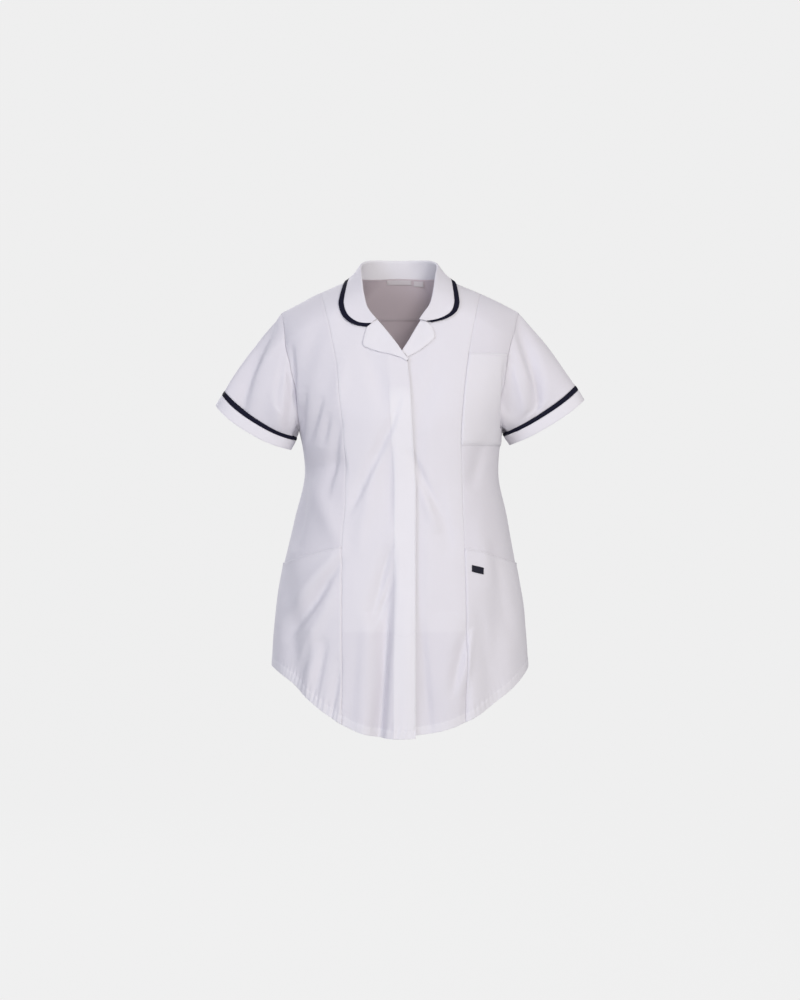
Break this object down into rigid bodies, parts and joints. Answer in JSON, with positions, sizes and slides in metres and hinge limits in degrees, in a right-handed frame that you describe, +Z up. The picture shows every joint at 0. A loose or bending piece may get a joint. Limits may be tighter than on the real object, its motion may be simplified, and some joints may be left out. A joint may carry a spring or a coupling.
{
  "type": "maternity tunic",
  "caption": "Hollow short-sleeved maternity tunic with turned collar and reveres, princess seams, chest and hip pockets, tape-trimmed cuffs and a curved hem.",
  "frame": {"origin": "between the two points where the shoulder seams meet the neck, where the garment hangs from its wearer", "axes": "+Z up the body, -Y out of the front, +X to the wearer's left"},
  "size_m": [0.633, 0.29, 0.8114],
  "materials": {
    "tunic_cloth": "matt woven polyester-cotton, white with a lavender cast",
    "contrast_tape": "matt woven navy tape",
    "label_satin": "plain white satin label",
    "label_woven": "plain navy woven label"
  },
  "bodies": {
    "root": {"back": "tunic_cloth", "back_neck_facing": "tunic_cloth", "chest_pocket": "tunic_cloth", "collar": "tunic_cloth", "collar_tape": "contrast_tape", "cuff_left": "tunic_cloth", "cuff_right": "tunic_cloth", "cuff_tape_left": "contrast_tape", "cuff_tape_right": "contrast_tape", "fly_strip": "tunic_cloth", "front_centre_left": "tunic_cloth", "front_centre_right": "tunic_cloth", "front_side_left": "tunic_cloth", "front_side_right": "tunic_cloth", "hip_pocket_left": "tunic_cloth", "hip_pocket_right": "tunic_cloth", "neck_label": "label_satin", "pocket_label": "label_woven", "revere_left": "tunic_cloth", "revere_right": "tunic_cloth", "size_tab": "label_satin", "sleeve_left": "tunic_cloth", "sleeve_right": "tunic_cloth"}
  },
  "joints": []
}
